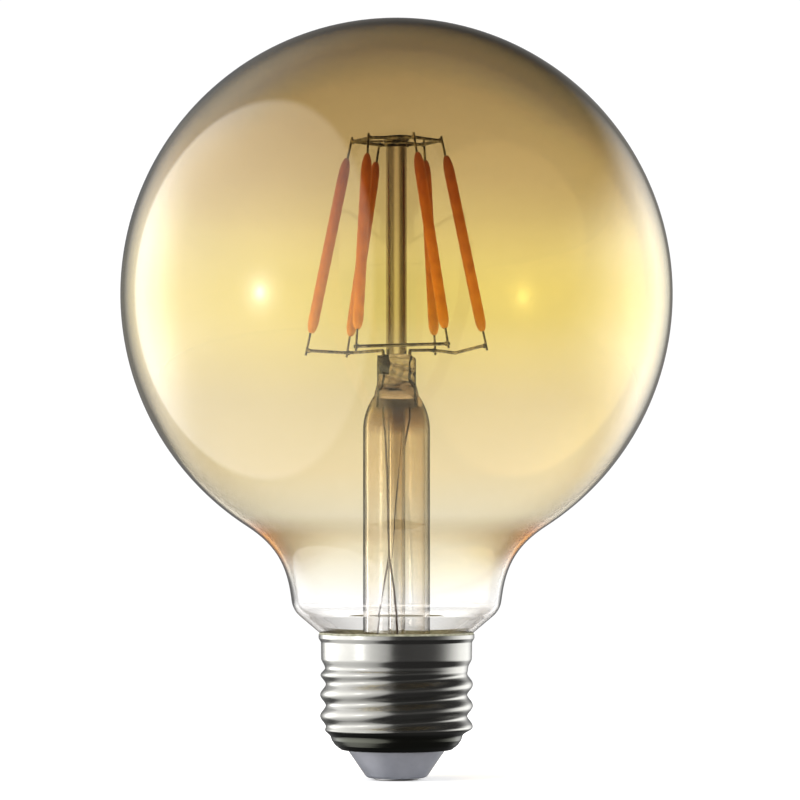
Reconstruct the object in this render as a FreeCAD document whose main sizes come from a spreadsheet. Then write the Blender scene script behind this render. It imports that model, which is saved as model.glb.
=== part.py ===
import FreeCAD, Part
import math
import os
import re

import Sketcher

# Globe filament bulb with a screw cap, standing on its centre contact.
# +Z is up, the cap's axis is Z, and the origin is the middle of the contact's lower face.
# All sizes are in millimetres and degrees.

SIZES = {
    # Blown glass envelope, measured to its outer face
    "globe_radius": 47.5,
    "glass_wall": 0.8,
    "neck_radius": 17.81,
    "neck_angle": 8.0,
    "neck_length": 10.95,
    "cone_angle": 49.8,
    "cement_gap": 1.25,
    "neck_overlap": 3.6,
    "waist_bend": 17.0,
    "shoulder_bend": 3.0,
    "throat_bend": 2.0,
    # Stem: flare, tube, dome and the pinch that seals the leads
    "stem_radius": 5.75,
    "stem_wall": 0.8,
    "flare_lip": 0.8,
    "stem_length": 43.0,
    "dome_rise": 6.6,
    "dome_glass": 2.8,
    "pinch_width": 6.7,
    "pinch_depth": 4.2,
    "pinch_height": 6.5,
    "pinch_corner": 1.2,
    "pinch_edge": 0.5,
    "seal_offset": 2.3,
    "seal_clearance": 0.05,
    "exhaust_radius": 1.5,
    "exhaust_wall": 0.5,
    "exhaust_lift": 2.6,
    # Glass rod that carries the filament cage
    "rod_radius": 1.75,
    "rod_length": 37.1,
    "rod_tip_bend": 0.9,
    # Filament cage: a hexagon of wire at the top and three bent wires at the bottom
    "cage_wire_radius": 0.28,
    "cage_bend": 1.2,
    "wire_overhang": 0.7,
    "upper_ring_radius": 7.3,
    "upper_ring_drop": 0.3,
    "upper_ring_turn": -7.5,
    "lower_ring_radius": 14.9,
    "lower_ring_lift": 1.0,
    "lower_ring_turn": 4.0,
    "lower_ring_tilt": 1.8,
    "right_arm_sag": 0.8,
    "filament_tail": 2.85,
    "filament_radius": 0.95,
    "filament_tip_radius": 0.4,
    "filament_taper": 2.2,
    "pin_radius": 0.2,
    "pin_overhang": 0.8,
    "weld_gap": 0.03,
    "collar_height": 2.1,
    "collar_wall": 0.45,
    "spoke_radius": 0.18,
    # Leads in and under the pinch
    "lead_radius": 0.17,
    "lead_bend": 12.0,
    "seal_wire_radius": 0.16,
    "seal_wire_tail": 0.6,
    "plate_width": 2.0,
    "plate_height": 3.4,
    "plate_thickness": 0.35,
    # Screw shell, rolled from one sheet, measured to its outer face
    "shell_wall": 0.3,
    "shell_edge_radius": 8.4,
    "shell_edge_height": 5.0,
    "foot_flat": 1.1,
    "foot_rise": 0.15,
    "shell_root_radius": 12.1,
    "shell_root_height": 8.6,
    "thread_rise": 1.1,
    "thread_pitch": 3.63,
    "thread_start_height": 9.1,
    "row_step": 0.5,
    "skirt_step": 1.6,
    "skirt_flare": 0.85,
    "skirt_length": 4.3,
    "skirt_draft": 0.05,
    "rim_flare": 0.45,
    "rim_lip": 0.65,
    "rim_height": 24.9,
    "rim_gap": 0.19,
    "cement_clearance": 0.12,
    "cement_bead": 0.35,
    # Insulator and centre contact
    "insulator_top_height": 7.2,
    "insulator_lip": 0.8,
    "insulator_foot_radius": 4.4,
    "insulator_foot_bend": 1.4,
    "insulator_foot_spread": 1.35,
    "insulator_foot_rise": 0.95,
    "fit_clearance": 0.1,
    "contact_thickness": 0.3,
    "contact_face_radius": 3.6,
    "contact_radius": 3.9,
    "shank_radius": 1.2,
    "shank_height": 5.5,
    # Driver board and what it carries
    "board_gap": 0.9,
    "board_thickness": 1.0,
    "rectifier_length": 4.7,
    "rectifier_width": 3.9,
    "rectifier_height": 1.6,
    "chip_length": 4.9,
    "chip_width": 3.9,
    "chip_height": 1.5,
    "capacitor_radius": 3.15,
    "capacitor_clearance": 1.8,
    "capacitor_bend": 0.5,
    "resistor_radius": 1.2,
    "resistor_clearance": 1.2,
    "resistor_lead": 0.9,
    "resistor_bend": 0.5,
    "hookup_radius": 0.4,
    "part_offset": 4.9,
    "resistor_offset": 5.9,
    "hookup_slack": 0.5,
    "hookup_straight": 2.0,
    "hookup_bend": 4.0,
    "shell_wire_inset": 2.2,
    "shell_wire_bend": 1.5,
}

# Sizes that follow from the ones above.
WORKED_OUT = {
    "cone_slope": "tan(cone_angle)",
    "skirt_radius": "shell_root_radius + skirt_flare",
    "rim_radius": "skirt_radius + rim_flare",
    "neck_end_radius": "skirt_radius - shell_wall - cement_gap",
    "skirt_height": "rim_height - skirt_length",
    "skirt_start_height": "skirt_height - skirt_step",
    "neck_end_height": "skirt_height - neck_overlap",
    "shoulder_height": "rim_height + rim_gap + (neck_radius - rim_radius + shell_wall) / cone_slope",
    "waist_height": "shoulder_height + neck_length",
    "waist_radius": "neck_radius + tan(neck_angle) * (waist_height - shoulder_height)",
    "globe_centre_height": "waist_height + sqrt(globe_radius * globe_radius - waist_radius * waist_radius)",
    "neck_inner_radius": "neck_end_radius - glass_wall",
    "flare_rim_radius": "neck_inner_radius - seal_clearance",
    "flare_bend": "flare_rim_radius - stem_radius - flare_lip",
    "flare_top_height": "neck_end_height + stem_wall + flare_bend",
    "dome_base_height": "neck_end_height + stem_length",
    "exhaust_tip_height": "neck_end_height + exhaust_lift",
    "dome_top_height": "dome_base_height + dome_rise",
    "dome_top_radius": "pinch_width / 2",
    "dome_step": "stem_radius - dome_top_radius",
    "dome_bend": "(dome_step * dome_step + dome_rise * dome_rise) / (2 * dome_step)",
    "dome_inner_height": "dome_top_height - dome_glass",
    "pinch_top_height": "dome_top_height + pinch_height",
    "rod_top_height": "pinch_top_height + rod_length",
    "upper_ring_height": "rod_top_height - upper_ring_drop",
    "lower_ring_height": "pinch_top_height + lower_ring_lift",
    "ring_rise": "upper_ring_height - lower_ring_height",
    "ring_spread": "lower_ring_radius - upper_ring_radius",
    "joint_distance": "sqrt(ring_rise * ring_rise + ring_spread * ring_spread)",
    "filament_length": "joint_distance - 2 * filament_tail",
    "seal_hole_radius": "cage_wire_radius + seal_clearance",
    "plate_top_height": "pinch_top_height - stem_wall / 4",
    "plate_bottom_height": "plate_top_height - plate_height",
    "taper_step": "filament_radius - filament_tip_radius",
    "taper_bend": "(taper_step * taper_step + filament_taper * filament_taper) / (2 * taper_step)",
    "insulator_neck_radius": "shell_edge_radius - fit_clearance",
    "insulator_lip_height": "shell_edge_height + shell_wall + 2 * fit_clearance",
    "board_radius": "shell_root_radius - shell_wall - board_gap",
    "board_bottom_height": "neck_end_height - board_thickness",
    "driver_space": "board_bottom_height - insulator_top_height",
    "capacitor_height": "driver_space - capacitor_clearance",
    "resistor_length": "driver_space - resistor_lead - resistor_clearance",
}

document = FreeCAD.newDocument("GlobeBulb")
sheet = document.addObject("Spreadsheet::Sheet", "Sizes")


def fill_sheet():
    """Writes each driving size as a plain number and each following size as a formula."""
    rows = [(name, str(number)) for name, number in SIZES.items()]
    rows += [(name, "=" + formula) for name, formula in WORKED_OUT.items()]
    for row, (name, content) in enumerate(rows, start=1):
        sheet.set(f"A{row}", name)
        sheet.set(f"B{row}", content)
        sheet.setAlias(f"B{row}", name)
    document.recompute()


def linked(formula):
    """The formula with each size's name pointing at the sheet."""
    return re.sub(r"\b([a-z]+(?:_[a-z]+)+)\b", r"Sizes.\1", formula)


def size(formula):
    """The number that a formula over the sheet's names gives now."""
    return float(sheet.evalExpression(linked(formula)))


def bind(thing, **formulas):
    """Ties properties of an object to formulas over the sheet."""
    for name, formula in formulas.items():
        thing.setExpression(name, linked(formula))


def new_body(label):
    body = document.addObject("PartDesign::Body", label)
    body.Label = label
    return body


def new_sketch(body, role):
    """An empty sketch on one of the body's own origin planes."""
    sketch = body.newObject("Sketcher::SketchObject", f"{body.Name}_outline")
    plane = next(item for item in body.Origin.OriginFeatures if item.Role == role)
    sketch.AttachmentSupport = [(plane, "")]
    sketch.MapMode = "FlatFace"
    return sketch


def arc_between(first, last, radius):
    """The short arc from first to last; a negative radius puts its centre on the right."""
    chord = last - first
    middle = (first + last) * 0.5
    reach = math.sqrt(max(radius * radius - chord.Length ** 2 / 4, 0.0))
    side = FreeCAD.Vector(-chord.y, chord.x, 0).normalize() * math.copysign(reach, radius)
    centre = middle + side
    outward = (middle - centre).normalize() * abs(radius) if reach > 1e-6 else -side.normalize() * abs(radius)
    return Part.Arc(first, centre + outward, last)


def draw_outline(sketch, corners):
    """Draws a closed outline. Each corner is (across, up) or (across, up, bend), where bend is the
    radius of the arc that leads to the next corner."""
    places = [FreeCAD.Vector(size(corner[0]), size(corner[1]), 0) for corner in corners]
    starts = []
    for index, corner in enumerate(corners):
        first = places[index]
        last = places[(index + 1) % len(corners)]
        if len(corner) == 3:
            bend = size(corner[2])
            edge = sketch.addGeometry(arc_between(first, last, bend), False)
            forward = sketch.getPoint(edge, 1).distanceToPoint(first) < 1e-6
            starts.append((edge, 1 if forward else 2, 2 if forward else 1))
        else:
            edge = sketch.addGeometry(Part.LineSegment(first, last), False)
            starts.append((edge, 1, 2))
    for index, corner in enumerate(corners):
        edge, begin, end = starts[index]
        following = starts[(index + 1) % len(corners)]
        sketch.addConstraint(Sketcher.Constraint("Coincident", edge, end, following[0], following[1]))
        tie_point(sketch, edge, begin, places[index], corner)
        if len(corner) == 3:
            place = sketch.addConstraint(Sketcher.Constraint("Radius", edge, abs(size(corner[2]))))
            sketch.setExpression(f"Constraints[{place}]", linked(f"abs({corner[2]})"))


def tie_point(sketch, edge, end, where, formulas):
    """Fixes one end of an edge at its place, each direction by its own formula."""
    for kind, axis, formula, number in (
        ("DistanceX", -2, formulas[0], where.x),
        ("DistanceY", -1, formulas[1], where.y),
    ):
        if abs(number) < 1e-9:
            sketch.addConstraint(Sketcher.Constraint("PointOnObject", edge, end, axis))
        else:
            place = sketch.addConstraint(Sketcher.Constraint(kind, -1, 1, edge, end, number))
            sketch.setExpression(f"Constraints[{place}]", linked(formula))


def turned(label, corners):
    """A body turned about Z from a half section."""
    body = new_body(label)
    sketch = new_sketch(body, "XZ_Plane")
    draw_outline(sketch, corners)
    turn = body.newObject("PartDesign::Revolution", f"{label}_turn")
    turn.Profile = sketch
    turn.ReferenceAxis = (sketch, ["V_Axis"])
    turn.Angle = 360
    document.recompute()
    return body


def circle_edge(shape, radius, height):
    """Name of the level circle of this radius at this height."""
    for index, edge in enumerate(shape.Edges, start=1):
        if edge.Degenerated or not isinstance(edge.Curve, Part.Circle):
            continue
        if abs(edge.Curve.Radius - radius) < 1e-4 and abs(edge.Curve.Center.z - height) < 1e-4:
            return f"Edge{index}"
    raise ValueError(f"no circle of radius {radius} at height {height}")


def round_edges(body, edges, bend, name):
    """Rounds the named edges of the body's last feature."""
    base = body.Tip
    fillet = body.newObject("PartDesign::Fillet", name)
    fillet.Base = (base, edges)
    bind(fillet, Radius=bend)
    document.recompute()


# Glass envelope: one blown piece, the outer form less the same form one wall smaller.

def blown_form(label, inset, end_height):
    """The envelope's form drawn inset from its outer face, from the crown to the open neck."""
    neck = f"(neck_radius - {inset} / cos(neck_angle))"
    lift = f"({inset} / cos(cone_angle) - {inset} / cos(neck_angle)) / (cone_slope - tan(neck_angle))"
    shoulder = (f"{neck} + tan(neck_angle) * {lift}", f"shoulder_height + {lift}")
    throat_drop = f"(neck_radius - neck_end_radius + {inset} - {inset} / cos(cone_angle)) / cone_slope"
    throat = (f"neck_end_radius - {inset}", f"shoulder_height - {throat_drop}")
    reach = f"({neck} + tan(neck_angle) * (globe_centre_height - shoulder_height))"
    spread = "(1 + tan(neck_angle) * tan(neck_angle))"
    ball = f"(globe_radius - {inset})"
    drop = f"({reach} * tan(neck_angle) + sqrt({ball} * {ball} * {spread} - {reach} * {reach})) / {spread}"
    waist = (f"{reach} - tan(neck_angle) * {drop}", f"globe_centre_height - {drop}")
    body = turned(label, [
        ("0", f"globe_centre_height + {ball}"),
        ("0", end_height),
        (f"neck_end_radius - {inset}", end_height),
        throat,
        shoulder,
        waist + (f"{ball}",),
        (f"{ball}", "globe_centre_height", f"{ball}"),
    ])
    bends = (
        (waist, f"waist_bend + {inset}", "waist"),
        (shoulder, f"shoulder_bend - {inset}", "shoulder"),
        (throat, f"throat_bend + {inset}", "throat"),
    )
    for place, bend, name in bends:
        edge = circle_edge(body.Shape, size(place[0]), size(place[1]))
        round_edges(body, [edge], bend, f"{label}_{name}")
    return body


def make_envelope():
    outer = blown_form("blown_outside", "0", "neck_end_height")
    inner = blown_form("blown_inside", "glass_wall", "neck_end_height - glass_wall")
    return outer, cut("glass_envelope", outer, inner)


def cut(label, base, tool):
    """A boolean cut of two objects, under its own label."""
    result = document.addObject("Part::Cut", label)
    result.Label = label
    result.Base = base
    result.Tool = tool
    document.recompute()
    return result


# Stem: drawn tube with a flare at its foot, closed by a dome and pressed into a flat pinch on the leads.

def make_stem():
    inner_bend = "(dome_bend - stem_wall)"
    inner_rise = "(dome_inner_height - dome_base_height)"
    inner_top = f"stem_radius - dome_bend + sqrt({inner_bend} * {inner_bend} - {inner_rise} * {inner_rise})"
    body = turned("stem_tube", [
        ("0", "dome_top_height"),
        ("0", "dome_inner_height"),
        (inner_top, "dome_inner_height", f"-1 * {inner_bend}"),
        ("stem_radius - stem_wall", "dome_base_height"),
        ("stem_radius - stem_wall", "flare_top_height", "flare_bend + stem_wall"),
        ("stem_radius + flare_bend", "neck_end_height"),
        ("flare_rim_radius", "neck_end_height"),
        ("flare_rim_radius", "neck_end_height + stem_wall"),
        ("stem_radius + flare_bend", "neck_end_height + stem_wall", "-1 * flare_bend"),
        ("stem_radius", "flare_top_height"),
        ("stem_radius", "dome_base_height", "dome_bend"),
        ("dome_top_radius", "dome_top_height"),
    ])
    foot = "dome_top_height"
    pinch = new_sketch(body, "XZ_Plane")
    draw_outline(pinch, [
        ("pinch_width / -2", foot),
        ("pinch_width / 2", foot),
        ("pinch_width / 2", "pinch_top_height - pinch_corner", "pinch_corner"),
        ("pinch_width / 2 - pinch_corner", "pinch_top_height"),
        ("pinch_corner - pinch_width / 2", "pinch_top_height", "pinch_corner"),
        ("pinch_width / -2", "pinch_top_height - pinch_corner"),
    ])
    pad = body.newObject("PartDesign::Pad", "pinch")
    pad.Profile = pinch
    pad.SideType = "Symmetric"
    bind(pad, Length="pinch_depth")
    document.recompute()
    side = size("pinch_width / 2")
    uprights = [
        f"Edge{index}" for index, edge in enumerate(body.Shape.Edges, start=1)
        if not edge.Degenerated and abs(edge.BoundBox.XLength) < 1e-4 and abs(edge.BoundBox.YLength) < 1e-4
        and abs(abs(edge.BoundBox.Center.x) - side) < 1e-4
    ]
    round_edges(body, uprights, "pinch_edge", "pinch_corners")
    pocket(body, "XY_Plane", "seal_holes", "pinch_top_height * 2", circles=[
        ("seal_offset * -1", "seal_hole_radius"),
        ("seal_offset", "seal_hole_radius"),
    ])
    pocket(body, "XZ_Plane", "plate_slot", "plate_thickness + 2 * seal_clearance", outline=[
        ("seal_offset * -1 - plate_width / 2 - seal_clearance", "plate_bottom_height - seal_clearance"),
        ("seal_offset * -1 + plate_width / 2 + seal_clearance", "plate_bottom_height - seal_clearance"),
        ("seal_offset * -1 + plate_width / 2 + seal_clearance", "plate_top_height + seal_clearance"),
        ("seal_offset * -1 - plate_width / 2 - seal_clearance", "plate_top_height + seal_clearance"),
    ])
    return body


def pocket(body, role, name, length, circles=(), outline=None):
    """Cuts circles or an outline out of the body, evenly on both sides of an origin plane."""
    before = body.Shape.Volume
    sketch = new_sketch(body, role)
    for across, radius in circles:
        centre = FreeCAD.Vector(size(across), 0, 0)
        ring = sketch.addGeometry(Part.Circle(centre, FreeCAD.Vector(0, 0, 1), size(radius)), False)
        sketch.addConstraint(Sketcher.Constraint("PointOnObject", ring, 3, -1))
        place = sketch.addConstraint(Sketcher.Constraint("DistanceX", -1, 1, ring, 3, centre.x))
        sketch.setExpression(f"Constraints[{place}]", linked(across))
        place = sketch.addConstraint(Sketcher.Constraint("Radius", ring, size(radius)))
        sketch.setExpression(f"Constraints[{place}]", linked(radius))
    if outline:
        draw_outline(sketch, outline)
    cutter = body.newObject("PartDesign::Pocket", name)
    cutter.Profile = sketch
    cutter.SideType = "Symmetric"
    bind(cutter, Length=length)
    document.recompute()
    if body.Shape.Volume > before - 1e-3:
        raise ValueError(f"{name} cuts nothing")


def make_exhaust():
    """Thin pump tube, melted shut at its lower end."""
    turned("exhaust_tube", [
        ("0", "exhaust_tip_height", "exhaust_radius"),
        ("exhaust_radius", "exhaust_tip_height + exhaust_radius"),
        ("exhaust_radius", "dome_inner_height"),
        ("exhaust_radius - exhaust_wall", "dome_inner_height"),
        ("exhaust_radius - exhaust_wall", "exhaust_tip_height + exhaust_radius",
         "exhaust_wall - exhaust_radius"),
        ("0", "exhaust_tip_height + exhaust_wall"),
    ])


def make_rod():
    """Solid glass rod, fused on the pinch, with a fire-rounded tip."""
    turned("support_rod", [
        ("0", "pinch_top_height"),
        ("rod_radius", "pinch_top_height"),
        ("rod_radius", "rod_top_height - rod_tip_bend", "rod_tip_bend"),
        ("rod_radius - rod_tip_bend", "rod_top_height"),
        ("0", "rod_top_height"),
    ])


# Filament cage. Places are worked out from the ring sizes, so the wires and filaments stay joined.

FRONT_LEFT, FRONT_RIGHT, RIGHT, BACK_RIGHT, BACK_LEFT, LEFT = (240, 300, 0, 60, 120, 180)


def upper_corner(angle, beyond=0.0):
    """A corner of the upper ring, or a place beyond it along its radius."""
    turn = math.radians(angle + size("upper_ring_turn"))
    reach = size("upper_ring_radius") + beyond
    return FreeCAD.Vector(reach * math.cos(turn), reach * math.sin(turn), size("upper_ring_height"))


def lower_corner(angle, beyond=0.0):
    """A corner of the lower ring, which hangs a little lower at the left."""
    turn = math.radians(angle + size("lower_ring_turn"))
    reach = size("lower_ring_radius") + beyond
    across = reach * math.cos(turn)
    rise = across * math.tan(math.radians(size("lower_ring_tilt")))
    return FreeCAD.Vector(across, reach * math.sin(turn), size("lower_ring_height") + rise)


def reaching(before, corner, after, bend):
    """The corner moved out, so that the wire rounded at it still reaches the corner's place."""
    back = (before - corner).normalize()
    ahead = (after - corner).normalize()
    half = (math.pi - back.getAngle(ahead)) / 2
    return corner - (back + ahead).normalize() * (bend / math.cos(half) - bend)


def bent_path(places, bend):
    """A line through the places with each corner rounded, as far as its two runs allow."""
    edges = []
    here = places[0]
    for before, corner, after in zip(places, places[1:], places[2:]):
        back = (before - corner).normalize()
        ahead = (after - corner).normalize()
        half = (math.pi - back.getAngle(ahead)) / 2
        if half < 1e-4:
            continue
        run = min(corner.distanceToPoint(before), corner.distanceToPoint(after))
        trim = min(bend * math.tan(half), 0.45 * run)
        radius = trim / math.tan(half)
        first = corner + back * trim
        last = corner + ahead * trim
        inward = (back + ahead).normalize()
        middle = corner + inward * (radius / math.cos(half) - radius)
        edges.append(Part.LineSegment(here, first).toShape())
        edges.append(Part.Arc(first, middle, last).toShape())
        here = last
    edges.append(Part.LineSegment(here, places[-1]).toShape())
    return Part.Wire(edges)


def drawn_wire(label, places, bend, radius):
    """A round wire along a bent path, swept from a circle bound to its radius."""
    path = document.addObject("Part::Feature", f"{label}_path")
    path.Shape = bent_path(places, bend)
    ring = document.addObject("Part::Circle", f"{label}_section")
    bind(ring, Radius=radius)
    heading = (places[1] - places[0]).normalize()
    ring.Placement = FreeCAD.Placement(places[0], FreeCAD.Rotation(FreeCAD.Vector(0, 0, 1), heading))
    sweep = document.addObject("Part::Sweep", label)
    sweep.Label = label
    sweep.Sections = [ring]
    sweep.Spine = (path, [f"Edge{index + 1}" for index in range(len(path.Shape.Edges))])
    sweep.Solid = True
    sweep.Frenet = False
    document.recompute()
    expected = math.pi * size(radius) ** 2 * path.Shape.Length
    if abs(sweep.Shape.Volume - expected) > 0.02 * expected:
        raise ValueError(f"{label} has the wrong volume")
    return sweep


def rod_between(label, first, last, radius):
    """A straight round wire from one place to another."""
    wire = document.addObject("Part::Cylinder", label)
    wire.Label = label
    bind(wire, Radius=radius)
    wire.Height = first.distanceToPoint(last)
    wire.Placement = FreeCAD.Placement(first, FreeCAD.Rotation(FreeCAD.Vector(0, 0, 1), last - first))
    return wire


def past_end(before, end):
    """The end of a wire carried on by its overhang."""
    return end + (end - before).normalize() * size("wire_overhang")


# Shares of the wire's radius and of the run where it sags
TURN_LIFT = 2.2
SAG_PLACE = 0.45


def make_cage_wires():
    """The hexagon at the top, its collar and spokes on the rod, and the three lower wires."""
    bend = size("cage_bend")
    ring = [upper_corner(angle) for angle in range(0, 360, 60)]
    ring = [reaching(ring[index - 1], ring[index], ring[(index + 1) % 6], bend) for index in range(6)]
    middle = (ring[-1] + ring[0]) * 0.5
    drawn_wire("upper_ring", [middle] + ring + [middle], bend, "cage_wire_radius")
    wire = size("cage_wire_radius")
    seal = FreeCAD.Vector(size("seal_offset"), 0, 0)
    up = FreeCAD.Vector(0, 0, 1)
    back_left, left = lower_corner(BACK_LEFT), lower_corner(LEFT)
    back_right, right = lower_corner(BACK_RIGHT), lower_corner(RIGHT)
    front_left, front_right = lower_corner(FRONT_LEFT), lower_corner(FRONT_RIGHT)
    turn_height = up * max(size("pinch_top_height") + TURN_LIFT * wire, 0.5 * (back_left.z + left.z))
    drawn_wire("left_arm_wire", [
        up * size("plate_top_height") - seal,
        turn_height - seal,
        reaching(turn_height - seal, back_left, left, bend),
        past_end(back_left, left),
    ], bend, "cage_wire_radius")
    sagging = back_right + (right - back_right) * SAG_PLACE - up * size("right_arm_sag")
    drawn_wire("right_arm_wire", [
        up * size("plate_top_height") + seal,
        turn_height + seal,
        reaching(turn_height + seal, back_right, sagging, bend),
        sagging,
        past_end(sagging, right),
    ], bend, "cage_wire_radius")
    rod_between("bridge_wire", past_end(front_right, front_left), past_end(front_left, front_right),
                "cage_wire_radius")


COLLAR_TURNS = 3
SPOKE_STOP = 1.5
TURN_ROUNDNESS = 0.55


def make_collar():
    """Wire wound three times round the rod's tip, with its turns pressed together."""
    pitch = f"(collar_height / {COLLAR_TURNS})"
    outside = "rod_radius + weld_gap + collar_wall"
    foot = "upper_ring_height - collar_height / 2"
    corners = [("rod_radius + weld_gap", f"{foot} + collar_height"), ("rod_radius + weld_gap", foot)]
    for turn in range(COLLAR_TURNS):
        bend = f"{pitch} * {TURN_ROUNDNESS}"
        corners.append((f"{outside} - collar_wall / 2", f"{foot} + {turn} * {pitch}", bend))
    corners.append((f"{outside} - collar_wall / 2", f"{foot} + collar_height"))
    turned("hub_collar", corners)
    wire = size("cage_wire_radius")
    start = size(outside) + size("weld_gap")
    for number, angle in enumerate((BACK_RIGHT, LEFT, FRONT_RIGHT), start=1):
        corner = upper_corner(angle, -SPOKE_STOP * wire)
        centre = FreeCAD.Vector(0, 0, corner.z)
        outward = (corner - centre).normalize()
        rod_between(f"hub_spoke_{number}", centre + outward * start, corner, "spoke_radius")


def make_filament(number, angle):
    """One filament on its own axis, between the upper and the lower wires, with a pin at each end."""
    lean = math.atan2(size("ring_spread"), size("ring_rise"))
    beside = size("cage_wire_radius + pin_radius + weld_gap") / math.cos(lean) / math.sin(math.radians(60))
    top = upper_corner(angle, beside)
    bottom = lower_corner(angle, beside)
    along = (bottom - top).normalize()
    middle = (top + bottom) * 0.5
    half = size("filament_length") / 2
    label = f"filament_{number}"
    body = turned(label, [
        ("0", "0"),
        ("filament_tip_radius", "0", "taper_bend"),
        ("filament_radius", "filament_taper"),
        ("filament_radius", "filament_length - filament_taper", "taper_bend"),
        ("filament_tip_radius", "filament_length"),
        ("0", "filament_length"),
    ])
    turn = FreeCAD.Rotation(FreeCAD.Vector(0, 0, 1), along * -1)
    body.Placement = FreeCAD.Placement(middle + along * half, turn)
    overhang = along * size("pin_overhang")
    rod_between(f"{label}_upper_pin", middle - along * half, top - overhang, "pin_radius")
    rod_between(f"{label}_lower_pin", middle + along * half, bottom + overhang, "pin_radius")


# Leads under the pinch. Each place is (share of the height, plan angle, share of the stem's bore).

LEFT_LEAD = ((0.93, 222, 0.525), (0.76, 231, 0.505), (0.58, 236, 0.505), (0.46, 243, 0.525),
             (0.34, 262, 0.586), (0.2, 272, 0.667))
RIGHT_LEAD = ((0.92, 48, 0.545), (0.76, 78, 0.505), (0.66, 94, 0.505), (0.47, 122, 0.525),
              (0.28, 146, 0.667), (0.16, 152, 0.808))


def make_leads():
    """Seal wires in the glass, the flattened plate of the left one, and copper leads to the board."""
    offset = size("seal_offset")
    low = size("dome_inner_height - seal_wire_tail")
    left = FreeCAD.Vector(-offset, 0, low)
    right = FreeCAD.Vector(offset, 0, low)
    plate = document.addObject("Part::Box", "seal_plate")
    plate.Label = "seal_plate"
    bind(plate, Length="plate_width", Width="plate_thickness", Height="plate_height")
    corner = FreeCAD.Vector(-offset - size("plate_width") / 2, -size("plate_thickness") / 2,
                            size("plate_bottom_height"))
    plate.Placement = FreeCAD.Placement(corner, FreeCAD.Rotation())
    rod_between("seal_wire_left", left, FreeCAD.Vector(-offset, 0, size("plate_bottom_height")),
                "seal_wire_radius")
    rod_between("seal_wire_right", right, FreeCAD.Vector(offset, 0, size("plate_top_height")),
                "seal_wire_radius")
    floor = size("neck_end_height")
    bore = size("stem_radius - stem_wall")
    routes = (("supply_lead_left", left, LEFT_LEAD), ("supply_lead_right", right, RIGHT_LEAD))
    for label, start, route in routes:
        places = [start, start - FreeCAD.Vector(0, 0, 2 * size("seal_wire_tail"))]
        for share, angle, reach in route:
            turn = math.radians(angle)
            height = floor + share * (low - floor)
            away = reach * bore
            places.append(FreeCAD.Vector(away * math.cos(turn), away * math.sin(turn), height))
        last = places[-1]
        places.append(FreeCAD.Vector(last.x, last.y, floor))
        drawn_wire(label, places, size("lead_bend"), "lead_radius")


# Screw shell: one sheet rolled to a thread, closed in at its foot and lipped at its rim.

# The bowl under the thread, as shares of the way out and up from the foot to the root
BOWL = ((0.39, 0.23), (0.62, 0.48), (0.71, 0.74))


def shell_outline():
    """Corners of the sheet's outer face, from the foot through the bowl to the rim."""
    rim = size("rim_height")
    lip = size("rim_lip")
    foot = (size("shell_edge_radius + foot_flat"), size("shell_edge_height + foot_rise"))
    root = (size("shell_root_radius"), size("shell_root_height"))
    bowl = [(foot[0] + (root[0] - foot[0]) * out, foot[1] + (root[1] - foot[1]) * up) for out, up in BOWL]
    return [
        (size("shell_edge_radius"), size("shell_edge_height")),
        foot,
        *bowl,
        root,
        (size("shell_root_radius"), size("skirt_start_height")),
        (size("skirt_radius"), size("skirt_height")),
        (size("skirt_radius + skirt_draft"), rim - 2 * lip),
        (size("rim_radius"), rim - lip),
        (size("rim_radius"), rim),
    ]


def outline_rows(corners, step):
    """Evenly spaced places along the outline."""
    rows = []
    for first, last in zip(corners, corners[1:]):
        count = max(1, round(math.dist(first, last) / step))
        for index in range(count):
            share = index / count
            rows.append((first[0] + (last[0] - first[0]) * share, first[1] + (last[1] - first[1]) * share))
    return rows + [corners[-1]]


def inset_rows(rows, wall):
    """The same places moved one wall thickness inwards, square to the sheet."""
    inside = []
    for index, (radius, height) in enumerate(rows):
        before = rows[max(index - 1, 0)]
        after = rows[min(index + 1, len(rows) - 1)]
        length = math.dist(before, after)
        inside.append((radius - wall * (after[1] - before[1]) / length,
                       height + wall * (after[0] - before[0]) / length))
    return inside


def eased(value, low, high):
    """Rises smoothly from 0 at low to 1 at high."""
    share = min(1.0, max(0.0, (value - low) / (high - low)))
    return share * share * (3 - 2 * share)


THREAD_SHARPNESS = 0.85
RUN_IN = 0.5
RUN_OUT = (0.35, 0.2)


def thread_at(angle, height):
    """How far the rolled thread stands out of the sheet at one place."""
    pitch = size("thread_pitch")
    start = size("thread_start_height")
    end = size("skirt_start_height")
    turns = (height - start) / pitch - angle / (2 * math.pi)
    crest = (0.5 + 0.5 * math.cos(2 * math.pi * turns)) ** THREAD_SHARPNESS
    run_in = eased(height, start - RUN_IN * pitch, start)
    run_out = 1 - eased(height, end - RUN_OUT[0] * pitch, end + RUN_OUT[1] * pitch)
    return size("thread_rise") * crest * run_in * run_out


def sheet_face(rows, around=24):
    """A smooth closed face round the axis through the rows, with the thread raised on it."""
    spread = 6 / (4 + 2 * math.cos(2 * math.pi / around))
    poles = []
    for index in range(around):
        angle = 2 * math.pi * index / around
        column = []
        for radius, height in rows:
            reach = (radius + thread_at(angle, height)) * spread
            column.append(FreeCAD.Vector(reach * math.cos(angle), reach * math.sin(angle), height))
        poles.append(column)
    surface = Part.BSplineSurface()
    spans = len(rows) - 3
    surface.buildFromPolesMultsKnots(poles, [1] * (around + 1), [4] + [1] * (spans - 1) + [4],
                                     list(range(around + 1)), list(range(spans + 1)), True, False, 3, 3)
    return surface.toShape()


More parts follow.
